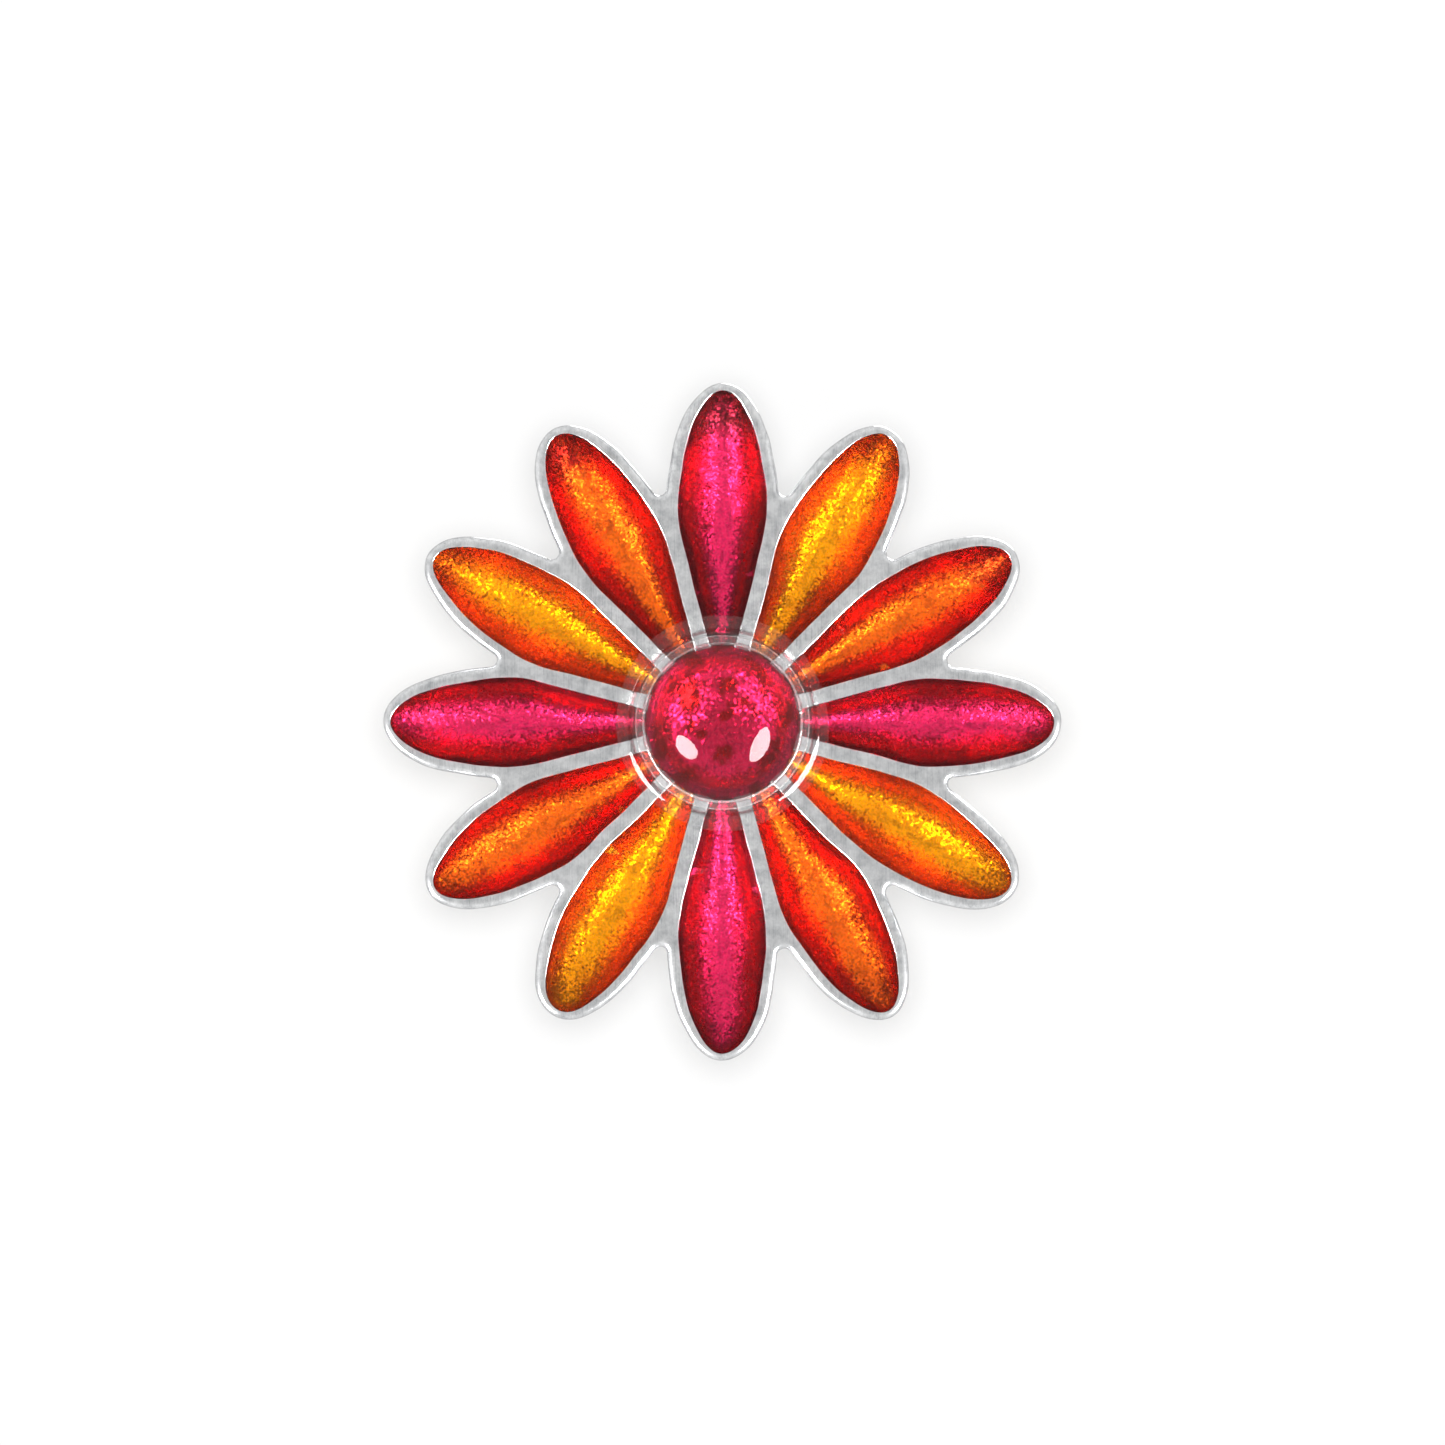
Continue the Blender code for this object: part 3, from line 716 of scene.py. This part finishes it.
def makeEnamels():
    places = stations(1)
    first = shapedGrid("petalEnamel01", [enamelSection(along, 10) for along in places])
    mirror = first.modifiers.new("mirror", "MIRROR")
    mirror.use_axis = (False, True, False)
    mirror.merge_threshold = 0.0005 * mm
    applyModifiers(first)
    closeUp(first)
    editAll(first)
    bpy.ops.mesh.fill_holes(sides=0)
    backToObject()
    closeUp(first)
    fills = [first]
    for number in range(1, petalCount):
        fill = first.copy()
        fill.data = first.data.copy()
        fill.name = f"petalEnamel{number + 1:02d}"
        scene.collection.objects.link(fill)
        fills.append(fill)
    for number, fill in enumerate(fills):
        selectOnly(fill)
        fill.rotation_euler.z = math.pi / 2 - number * sector
        bpy.ops.object.transform_apply(location=True, rotation=True, scale=True)
        handCut(fill)
        colour = petalColours[number % len(petalColours)]
        node = f"petal_enamel_{number + 1:02d}"
        finishPiece(fill, "flower", [node], [enamels[colour]], 40)


makeEnamels()
print("enamel done")


# The centre: lined bowl, glass stone and the clear glue round its foot

stone = {
    "seat": faceHeight + 0.03 * mm,
    "radius": 5.15 * mm,
    "girdle": 0.52 * mm,
    "shoulder": 0.75 * mm,
    "domeRadius": 4.6 * mm,
    "domeHeight": 2.0 * mm,
    "softEdge": 0.12 * mm,
}
glue = {"reach": 6.45 * mm, "height": 0.48 * mm, "edge": -0.02 * mm, "hollow": 2.0, "depth": 0.012 * mm}


def makeLining():
    thickness, wall = 0.16 * mm, -0.01 * mm
    upper = bowlCurve(-thickness, 24)
    lower = bowlCurve(-0.01 * mm, 24)
    rim = hub["radius"] - wall
    outline = upper[::-1] + [(rim, upper[0][1]), (rim, lower[0][1])] + lower
    lining = turned("centreEnamel", outline, 120)
    for vertex in lining.data.vertices:  # its bowl is faintly twelve-sided, like the petals round it
        radius = math.hypot(vertex.co.x, vertex.co.y)
        share = max(0.0, 1 - abs(radius - hub["bowlRadius"]) / (0.4 * mm))
        turn = math.atan2(vertex.co.y, vertex.co.x)
        vertex.co.xy *= 1 - 0.018 * share * (0.5 + 0.5 * math.cos(petalCount * turn))
    finishPiece(lining, "flower", ["centre_enamel"], [bowlEnamel], 40)


def makeStone():  # its underside is bedded in the bowl, with no air between them
    seat, wide, soft = stone["seat"], stone["radius"], stone["softEdge"]
    foot, rise, girdle = stone["domeRadius"], stone["domeHeight"], stone["seat"] + stone["girdle"]
    step = seat + stone["shoulder"]
    ball = (foot**2 + rise**2) / (2 * rise)
    crown = seat + stone["shoulder"] + rise
    widest = math.degrees(math.asin(foot / ball))
    outline = arc((0, crown - ball), ball, 90, 90 - widest, 28)
    outline += [(foot + 0.02 * mm, step - 0.08 * mm), (foot + 0.06 * mm, step - 0.15 * mm)]
    outline += [(foot + 0.14 * mm, girdle + 0.04 * mm)]
    outline += arc((wide - soft, girdle - soft), soft, 60, 0, 4)
    outline += [(wide, faceHeight - 0.005 * mm), (hub["radius"], faceHeight - 0.005 * mm)]
    bed = bowlCurve(-0.15 * mm, 24)
    outline += [(hub["radius"], bed[0][1])] + bed
    dome = turned("glassStone", outline, 144)
    for vertex in dome.data.vertices:
        radius = math.hypot(vertex.co.x, vertex.co.y)
        if vertex.co.z < faceHeight - 0.02 * mm:
            share = max(0.0, 1 - abs(radius - hub["bowlRadius"]) / (0.4 * mm))
            turn = math.atan2(vertex.co.y, vertex.co.x)
            vertex.co.xy *= 1 - 0.018 * share * (0.5 + 0.5 * math.cos(petalCount * turn))
    for face in dome.data.polygons:  # the ledge is less polished than the dome, and its two edges are ground
        radius = math.hypot(face.center.x, face.center.y)
        if face.center.z > seat + 0.2 * mm and radius > foot:
            face.material_index = 1 if foot + 0.1 * mm < radius < wide - 0.13 * mm else 2
    finishPiece(dome, "flower", ["glass_stone"], [stoneGlass, ledgeGlass, groundGlass], 25)


def makeGlue():
    bore, reach = stone["radius"] + 0.02 * mm, glue["reach"]
    low = faceHeight - glue["depth"]
    outline = []
    for i in range(15):
        share = i / 14
        height = glue["edge"] + (glue["height"] - glue["edge"]) * (1 - share) ** glue["hollow"]
        outline.append((bore + (reach - bore) * share, stone["seat"] + height))
    outline += [(reach, low), (bore, low)]
    collar = turned("clearGlue", outline, 144)
    for vertex in collar.data.vertices:  # it has crept a little further in some places than in others
        radius = math.hypot(vertex.co.x, vertex.co.y)
        turn = math.atan2(vertex.co.y, vertex.co.x)
        wander = 0.5 + 0.3 * math.sin(2 * turn + 0.7) + 0.2 * math.sin(5 * turn)
        share = (radius - bore) / (reach - bore)
        vertex.co.xy *= (radius - 0.25 * mm * share * wander) / radius
    finishPiece(collar, "flower", ["resin_collar"], [resinClear], 50)


makeLining()
makeStone()
makeGlue()
print("centre done")


# Tack posts

post = {
    "radius": 0.55 * mm,
    "length": 8.0 * mm,
    "point": 0.9 * mm,
    "tip": 0.04 * mm,
    "flangeRadius": 2.2 * mm,
    "flangeThickness": 0.45 * mm,
    "grooveRadius": 0.42 * mm,
    "groovePlace": 6.3 * mm,
    "grooveWidth": 0.5 * mm,
}


def makePost(side, x):
    wide, thick, shank = post["flangeRadius"], post["flangeThickness"], post["radius"]
    soft = 0.1 * mm
    outline = [(0, flower["backStep"]), (wide, flower["backStep"])]
    outline += arc((wide - soft, -thick + soft), soft, 0, -90, 4)
    outline += arc((shank + soft, -thick - soft), soft, 90, 180, 4)
    slope = shank - post["grooveRadius"]
    outline += [(shank, -post["groovePlace"] + slope), (post["grooveRadius"], -post["groovePlace"])]
    grooveEnd = post["groovePlace"] + post["grooveWidth"]
    outline += [(post["grooveRadius"], -grooveEnd), (shank, -grooveEnd - slope)]
    outline += [(shank, -post["length"] + post["point"])]
    outline += [(shank * 0.86, -post["length"] + post["point"] * 0.72)]
    outline += [(post["tip"], -post["length"]), (0, -post["length"])]
    nail = turned("tackPost" + side, outline, 64)
    place(nail, x)
    finishPiece(nail, "flower", ["post_" + side.lower()], [nickel], 30)


def makeSolder(side, x):
    bore = post["flangeRadius"] + 0.005 * mm
    outline = arc((bore + 0.6 * mm, -0.42 * mm), 0.6 * mm, 180, 100, 8)[1:]
    outline = [(bore, -0.4 * mm)] + [(r, min(z, flower["backStep"])) for r, z in outline]
    outline += [(bore + 0.62 * mm, flower["backStep"]), (bore, flower["backStep"])]
    fillet = turned("postSolder" + side, outline, 96)
    for vertex in fillet.data.vertices:  # a hand-fed joint is never quite round
        radius = math.hypot(vertex.co.x, vertex.co.y)
        turn = math.atan2(vertex.co.y, vertex.co.x)
        swell = 0.5 * math.sin(3 * turn + x / mm) + 0.3 * math.sin(7 * turn) + 0.2 * math.sin(13 * turn + 1)
        share = max(0.0, (radius - bore) / (0.62 * mm))
        vertex.co.xy *= (radius + 0.1 * mm * share * (swell - 0.8)) / radius
    place(fillet, x)
    finishPiece(fillet, "flower", ["post_solder_" + side.lower()], [solderMetal], 50)


# Butterfly clutches, modelled with the wings along x and the hat below, then turned to their posts

plate = {
    "radius": 5.5 * mm,
    "thickness": 0.35 * mm,
    "wall": 1.38 * mm,
    "round": 0.3 * mm,
    "lipRadius": 3.3 * mm,
    "lipThickness": 0.3 * mm,
    "hole": 0.62 * mm,
    "windowStart": 3.0 * mm,
    "windowHalfWidth": 3.95 * mm,
    "toothCircle": 3.9 * mm,
    "toothRadius": 0.45 * mm,
    "toothHeight": 0.4 * mm,
}
jaw = {
    "thickness": 0.25 * mm,
    "halfWidth": 3.7 * mm,
    "gap": 0.06 * mm,
    "leafEnd": 1.7 * mm,
    "foldPlace": 3.85 * mm,
    "runHeight": 1.6 * mm,
    "rootBend": 0.9 * mm,
    "rootPlace": 1.75 * mm,
    "wingStart": 2.9 * mm,
    "wingBend": 2.0 * mm,
    "wingEnd": 60,
    "planRadius": 5.55 * mm,
    "slotRadius": 0.6 * mm,
    "pinch": 0.5 * mm,
    "ribHeight": 0.07 * mm,
}
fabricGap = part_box("clutch_jaw_top_left")[0].y - plate["thickness"] - jaw["gap"]
clutchTurn = Matrix(((0, 1, 0), (1, 0, 0), (0, 0, -1))).to_4x4()


def seatClutchPiece(piece, x):
    selectOnly(piece)
    piece.matrix_world = Matrix.Translation((x, 0, -fabricGap)) @ clutchTurn @ piece.matrix_world
    bpy.ops.object.transform_apply(location=True, rotation=True, scale=True)


def addTool(kind, **sizes):
    bpy.ops.object.select_all(action="DESELECT")
    getattr(bpy.ops.mesh, f"primitive_{kind}_add")(**sizes)
    return bpy.context.object


def makePlate(side, x):
    edge, soft, thick = plate["radius"], plate["round"], plate["thickness"]
    wall, lip, tip = plate["wall"], plate["lipRadius"], plate["lipThickness"] / 2
    inner = edge - thick
    outline = arc((edge - soft, soft), soft, -90, 0, 6) + arc((edge - soft, wall - soft), soft, 0, 90, 6)
    outline += arc((lip + tip, wall - tip), tip, 90, 270, 8)
    outline += arc((inner - tip, wall - 3 * tip), tip, 90, 0, 4) + arc((inner - tip, thick + tip), tip, 0, -90, 4)
    outline += arc((plate["hole"] + 0.06 * mm, thick - 0.06 * mm), 0.06 * mm, 90, 180, 3)
    outline += arc((plate["hole"] + 0.06 * mm, 0.06 * mm), 0.06 * mm, 180, 270, 3)
    disc = turned("clutchPlate" + side, outline, 120)
    for way in (1, -1):
        reach = plate["radius"]
        window = addTool("cube", size=1, location=(way * (plate["windowStart"] + reach / 2), 0, thick + 0.01 * mm + reach / 2))
        window.scale = (reach, 2 * plate["windowHalfWidth"], reach)
        bpy.ops.object.transform_apply(location=True, rotation=True, scale=True)
        editAll(window, "EDGE")
        bpy.ops.mesh.bevel(offset=0.18 * mm, segments=4, affect="EDGES")
        backToObject()
        for vertex in window.data.vertices:
            vertex.co.z = max(vertex.co.z, thick + 0.01 * mm)
        cut(disc, window)
    for quarter in range(4):
        turn = math.radians(45 + 90 * quarter)
        outline = [(0, 0.1 * mm), (plate["toothRadius"], 0.1 * mm), (plate["toothRadius"], -0.02 * mm)]
        outline += [(0.2 * mm, -0.6 * plate["toothHeight"]), (0.07 * mm, -0.95 * plate["toothHeight"])]
        outline += [(0, -plate["toothHeight"])]
        tooth = turned("tooth", outline, 32)
        place(tooth, plate["toothCircle"] * math.cos(turn), plate["toothCircle"] * math.sin(turn))
        cut(disc, tooth, "UNION")
    seatClutchPiece(disc, x)
    finishPiece(disc, side.lower() + "_clutch", ["clutch_plate_" + side.lower()], [brass], 30)


def jawPath(leaf):  # the strip's middle line from its side: leaf, fold, upper run and curled wing
    fold = (jaw["runHeight"] - leaf) / 2
    line = [(-jaw["leafEnd"] + (jaw["foldPlace"] + jaw["leafEnd"]) * i / 8, leaf) for i in range(8)]
    line += arc((jaw["foldPlace"], leaf + fold), fold, -90, 90, 14)
    bend, root = jaw["rootBend"], jaw["rootPlace"]
    line += arc((root + bend, jaw["runHeight"] + bend), bend, -90, -180, 10)
    line += arc((root + jaw["wingBend"], jaw["wingStart"]), jaw["wingBend"], 180, jaw["wingEnd"], 40)
    return line


def makeJaw(side, end, leaf, x):
    path = [Vector(point) for point in jawPath(leaf)]
    first = len(path) - 41  # where the wing's curl starts
    sections = []
    for i, point in enumerate(path):
        ahead = (path[min(i + 1, len(path) - 1)] - path[max(i - 1, 0)]).normalized()
        outward = Vector((-ahead.y, ahead.x))
        row = []
        for j in range(25):
            across = (j / 12 - 1) * jaw["halfWidth"]
            curl = (i - first) / 40
            ridges = 0.0
            if 0.25 < curl < 0.85:
                ridges = max(0.0, math.sin((curl - 0.25) / 0.6 * 3 * math.tau - math.pi / 2)) ** 2
            fade = max(0.0, min(1.0, (0.78 - abs(j / 12 - 1)) / 0.12))
            lift = jaw["ribHeight"] * ridges * fade
            row.append(Vector((point.x + outward.x * lift, across, point.y + outward.y * lift)))
        sections.append(row)
    strip = shapedGrid(f"clutchJaw{end}{side}", sections)
    wall = strip.modifiers.new("thickness", "SOLIDIFY")
    wall.thickness = jaw["thickness"]
    wall.offset = 0
    applyModifiers(strip)
    closeUp(strip)
    slot = addTool("cylinder", vertices=48, radius=jaw["slotRadius"], depth=4 * jaw["thickness"], location=(0, 0, leaf))
    for vertex in slot.data.vertices:
        if vertex.co.x > 0:
            vertex.co.x += jaw["pinch"]
    cut(strip, slot)
    plan = addTool("cylinder", vertices=160, radius=jaw["planRadius"], depth=20 * mm)
    cut(strip, plan, "INTERSECT")
    soften = strip.modifiers.new("soften", "BEVEL")
    soften.width = 0.04 * mm
    soften.segments = 2
    soften.limit_method = "ANGLE"
    soften.angle_limit = math.radians(50)
    applyModifiers(strip)
    if end == "Bottom":
        selectOnly(strip)
        strip.rotation_euler.z = math.pi
        bpy.ops.object.transform_apply(location=True, rotation=True, scale=True)
    seatClutchPiece(strip, x)
    low = side.lower()
    body = f"{low}_{end.lower()}_jaw"
    finishPiece(strip, body, [f"clutch_jaw_{end.lower()}_{low}"], [brass], 40)


lowerLeaf = plate["thickness"] + jaw["gap"] + jaw["thickness"] / 2
upperLeaf = lowerLeaf + jaw["thickness"] + jaw["gap"]
for side in ("Left", "Right"):
    low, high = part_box("post_" + side.lower())
    x = (low.x + high.x) / 2
    makePost(side, x)
    makeSolder(side, x)
    makePlate(side, x)
    makeJaw(side, "Top", lowerLeaf, x)
    makeJaw(side, "Bottom", upperLeaf, x)
    print("clutch done", side)


# Camera, lights and stage

studio = {
    "lens": 200,
    "frameWidth": 0.0853,  # what the picture spans at the flower's face
    "lightDistance": 0.45,
    "stoneLight": 40.0,
    "petalLight": 150.0,
    "ahead": 0.74,  # how bright the room is behind the camera
    "around": 1.0,  # to every side
    "behind": 0.5,  # and behind the pin
    "paperLight": 122.0,
    "glow": 0.61,
    "wall": 10.5 * mm,
    "floor": -48 * mm,
}


def makeStageMaterial(name, tone):  # seen from its front only, and it blocks no light
    made = bpy.data.materials.new(name)
    made.use_nodes = True
    tree = made.node_tree
    tree.nodes.clear()
    shade = Shade(tree)
    rays = shade.node("ShaderNodeLightPath", None, None, "Is Camera Ray")
    back = shade.node("ShaderNodeNewGeometry", None, None, "Backfacing")
    lit = shade.node("ShaderNodeBsdfDiffuse", None, {"Color": (tone, tone, tone, 1)})
    glow = shade.node("ShaderNodeEmission", None, {"Strength": studio["glow"]})  # thin sheet with a lamp behind it
    paper = shade.node("ShaderNodeAddShader", None, {0: lit, 1: glow})
    clear = shade.node("ShaderNodeBsdfTransparent")
    seen = shade.node("ShaderNodeMixShader", None, {0: rays * (1 - back), 1: clear, 2: paper})
    shade.node("ShaderNodeOutputMaterial", None, {0: seen})
    return made


def makeStage():
    paper, table = makeStageMaterial("palePaper", 0.14), makeStageMaterial("paleTable", 0.3)
    wall = addTool("plane", size=1.2, location=(0, studio["wall"], studio["floor"] + 0.6), rotation=(math.pi / 2, 0, 0))
    wall.name = "backdrop"
    ground = addTool("plane", size=3.0, location=(0, 0, studio["floor"]))
    ground.name = "floor"
    for piece, cover in ((wall, paper), (ground, table)):
        piece.data.materials.append(cover)
    return wall, ground


def makeLight(name, direction, radiance, size, roll, lit):
    lamp = bpy.data.lights.new(name, "AREA")
    lamp.shape = "ELLIPSE"
    lamp.size, lamp.size_y = size
    lamp.energy = radiance * math.pi * math.pi / 4 * size[0] * size[1]
    holder = bpy.data.objects.new(name, lamp)
    scene.collection.objects.link(holder)
    aim = Vector(direction).normalized()
    holder.location = aim * studio["lightDistance"]
    spun = Matrix.Rotation(math.radians(roll), 4, "Z")
    holder.rotation_euler = (aim.to_track_quat("Z", "Y").to_matrix().to_4x4() @ spun).to_euler()
    holder.visible_camera = False
    holder.light_linking.receiver_collection = lit
    if lit == petalPieces:
        holder.light_linking.blocker_collection = lit  # it shines past the stone


def makeWorld():
    world = bpy.data.worlds.new("studio")
    scene.world = world
    world.use_nodes = True
    sky = world.node_tree.nodes["Background"]
    sky.inputs["Color"].default_value = (1, 1, 1, 1)
    shade = Shade(world.node_tree)
    direction = shade.node("ShaderNodeTexCoord")
    depth = shade.node("ShaderNodeSeparateXYZ", None, {0: direction}, 1)
    ahead, behind = (depth * -1.0).clamp() ** 3, depth.clamp() ** 2
    strength = studio["around"] + (studio["ahead"] - studio["around"]) * ahead
    strength = strength + (studio["behind"] - studio["around"]) * behind
    world.node_tree.links.new(strength.socket, sky.inputs["Strength"])


def makeCamera():
    camera = bpy.data.cameras.new("camera")
    camera.lens = studio["lens"]
    camera.clip_start = 0.01
    holder = bpy.data.objects.new("camera", camera)
    scene.collection.objects.link(holder)
    away = studio["frameWidth"] * camera.lens / camera.sensor_width
    holder.location = (0, flowerLow.y - away, 0)
    holder.rotation_euler = (math.pi / 2, 0, 0)
    scene.camera = holder


# One pair of softboxes lights the stone, a lower pair the petals, and neither reaches the paper
pinPieces, stonePieces = bpy.data.collections.new("pinPieces"), bpy.data.collections.new("stonePieces")
petalPieces, paperPieces = bpy.data.collections.new("petalPieces"), bpy.data.collections.new("paperPieces")
for piece in scene.objects:
    if piece.type == "MESH":
        pinPieces.objects.link(piece)
        inCentre = piece.name in ("glassStone", "clearGlue", "centreEnamel")
        (stonePieces if inCentre else petalPieces).objects.link(piece)
for piece in makeStage():
    paperPieces.objects.link(piece)
makeLight("stoneBoxLeft", (-0.62, -0.656, -0.43), studio["stoneLight"], (0.15, 0.22), 35, stonePieces)
makeLight("stoneBoxRight", (0.647, -0.656, -0.389), studio["stoneLight"], (0.15, 0.30), -12, stonePieces)
makeLight("petalBoxLeft", (-0.75, -0.41, -0.52), studio["petalLight"], (0.12, 0.28), 35, petalPieces)
makeLight("petalBoxRight", (0.78, -0.41, -0.47), studio["petalLight"], (0.12, 0.28), -25, petalPieces)
makeLight("rearFill", (0.3, 0.75, 0.6), 5.0, (0.3, 0.3), 0, pinPieces)
makeLight("paperLight", (0.0, -1.0, 0.03), studio["paperLight"], (0.12, 0.12), 0, paperPieces)
makeWorld()
makeCamera()
scene.view_settings.view_transform = "Standard"
print("stage done")
